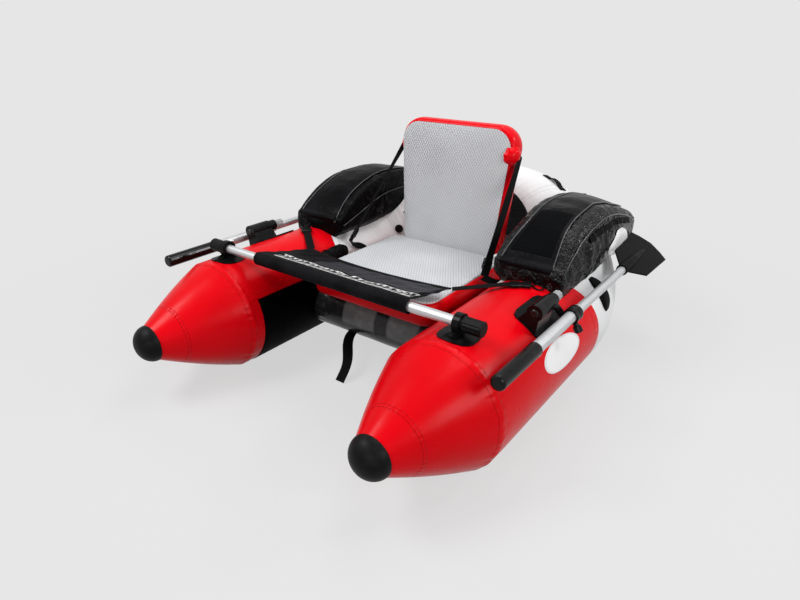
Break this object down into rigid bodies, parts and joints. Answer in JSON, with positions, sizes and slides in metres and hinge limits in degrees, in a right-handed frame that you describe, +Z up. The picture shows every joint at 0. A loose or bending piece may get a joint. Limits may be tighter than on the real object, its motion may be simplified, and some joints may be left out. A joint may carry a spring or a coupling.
{
  "type": "float tube",
  "caption": "U-shaped inflatable float tube with an upswept stern, panel seat and folding back, crossbar with apron, saddle bags and oars on swinging oarlocks",
  "frame": {"origin": "middle of the hull's outline on the floor, under the line between both bows and the stern", "axes": "+X to the right as the craft is seen from its bows, which is the angler's left, +Y from the bows to the stern, +Z up"},
  "size_m": [1.2358, 1.4532, 0.6864],
  "materials": {
    "red_pvc": "glossy welded PVC cloth, smooth",
    "grey_pvc": "semi-gloss welded PVC cloth, smooth",
    "black_pvc": "glossy black PVC cloth with fine cracks",
    "grey_foam": "embossed EVA foam, diamond texture",
    "black_nylon": "coated woven nylon",
    "webbing": "woven polyester webbing",
    "black_plastic": "moulded nylon, fine texture",
    "black_rubber": "moulded rubber, satin",
    "aluminium": "drawn tube, brushed"
  },
  "bodies": {
    "hull": {"air_valve_left": "black_plastic", "air_valve_right": "black_plastic", "apron": "black_nylon", "apron_buckle_left": "black_plastic", "apron_buckle_right": "black_plastic", "apron_strap_left": "webbing", "apron_strap_right": "webbing", "bag_left": "black_nylon", "bag_right": "black_nylon", "beam_tail": "webbing", "cargo_deck": "black_nylon", "crossbar": "aluminium", "crossbar_cap_left": "black_rubber", "crossbar_cap_right": "black_rubber", "crossbar_saddle_left": "black_plastic", "crossbar_saddle_right": "black_plastic", "crossbar_sleeve": "black_nylon", "front_beam": "black_pvc", "inner_panel_left": "black_pvc", "inner_panel_right": "black_pvc", "nose_cap_left": "black_rubber", "nose_cap_right": "black_rubber", "oar_keeper_left": "webbing", "oar_keeper_right": "webbing", "oarlock_housing_left": "black_plastic", "oarlock_housing_right": "black_plastic", "oarlock_plate_left": "black_rubber", "oarlock_plate_right": "black_rubber", "pontoon_left": "red_pvc", "pontoon_right": "red_pvc", "rear_beam": "black_pvc", "seat_base": "red_pvc", "seat_pad": "grey_foam", "stern_handle": "webbing", "stern_tube": "grey_pvc", "strap_tab_left": "webbing", "strap_tab_right": "webbing", "tie_patch_left": "red_pvc", "tie_patch_right": "red_pvc", "tie_ring_left": "black_plastic", "tie_ring_right": "black_plastic"},
    "backrest": {"backrest": "red_pvc", "backrest_pad": "grey_foam", "backrest_strap_left": "webbing", "backrest_strap_right": "webbing"},
    "oarlock_arm_left": {"oarlock_arm_left": "black_plastic"},
    "oar_collar_left": {"oar_collar_left": "black_plastic"},
    "oar_left": {"oar_grip_left": "black_rubber", "oar_shaft_left": "aluminium", "oar_blade_left": "black_plastic"},
    "oarlock_knob_left": {"oarlock_knob_left": "black_plastic"},
    "collar_screw_left": {"collar_screw_left": "black_plastic"},
    "oarlock_arm_right": {"oarlock_arm_right": "black_plastic"},
    "oar_collar_right": {"oar_collar_right": "black_plastic"},
    "oar_right": {"oar_grip_right": "black_rubber", "oar_shaft_right": "aluminium", "oar_blade_right": "black_plastic"},
    "oarlock_knob_right": {"oarlock_knob_right": "black_plastic"},
    "collar_screw_right": {"collar_screw_right": "black_plastic"}
  },
  "joints": [
    {"name": "backrest_fold", "type": "hinge", "parent": "hull", "child": "backrest", "pos_m": [0, 0.1764, 0.2983], "axis": [1, 0, 0], "range_deg": [0, 85], "deforming": ["backrest_strap_left", "backrest_strap_right"]},
    {"name": "oar_lift_left", "type": "hinge", "parent": "hull", "child": "oarlock_arm_left", "pos_m": [-0.505, -0.1303, 0.343], "axis": [0, 1, 0], "range_deg": [0, 50]},
    {"name": "oar_swing_left", "type": "hinge", "parent": "oarlock_arm_left", "child": "oar_collar_left", "pos_m": [-0.5575, -0.1076, 0.312], "axis": [-0.9272, 0, 0.3746], "range_deg": [0, 90]},
    {"name": "oar_feather_left", "type": "hinge", "parent": "oar_collar_left", "child": "oar_left", "pos_m": [-0.5575, -0.1076, 0.312], "axis": [0, -1, 0], "range_deg": [0, 90]},
    {"name": "oarlock_knob_turn_left", "type": "hinge", "parent": "hull", "child": "oarlock_knob_left", "pos_m": [-0.505, -0.2206, 0.343], "axis": [0, 1, 0], "continuous": true},
    {"name": "collar_screw_turn_left", "type": "hinge", "parent": "oar_collar_left", "child": "collar_screw_left", "pos_m": [-0.56882, -0.1166, 0.29456], "axis": [-0.5446, 0, -0.8387], "continuous": true},
    {"name": "oar_lift_right", "type": "hinge", "parent": "hull", "child": "oarlock_arm_right", "pos_m": [0.505, -0.1303, 0.343], "axis": [0, -1, 0], "range_deg": [0, 50]},
    {"name": "oar_swing_right", "type": "hinge", "parent": "oarlock_arm_right", "child": "oar_collar_right", "pos_m": [0.5575, -0.1076, 0.312], "axis": [-0.9272, 0, -0.3746], "range_deg": [0, 90]},
    {"name": "oar_feather_right", "type": "hinge", "parent": "oar_collar_right", "child": "oar_right", "pos_m": [0.5575, -0.1076, 0.312], "axis": [0, 1, 0], "range_deg": [0, 90]},
    {"name": "oarlock_knob_turn_right", "type": "hinge", "parent": "hull", "child": "oarlock_knob_right", "pos_m": [0.505, -0.2206, 0.343], "axis": [0, 1, 0], "continuous": true},
    {"name": "collar_screw_turn_right", "type": "hinge", "parent": "oar_collar_right", "child": "collar_screw_right", "pos_m": [0.56882, -0.1166, 0.29456], "axis": [0.5446, 0, -0.8387], "continuous": true}
  ]
}
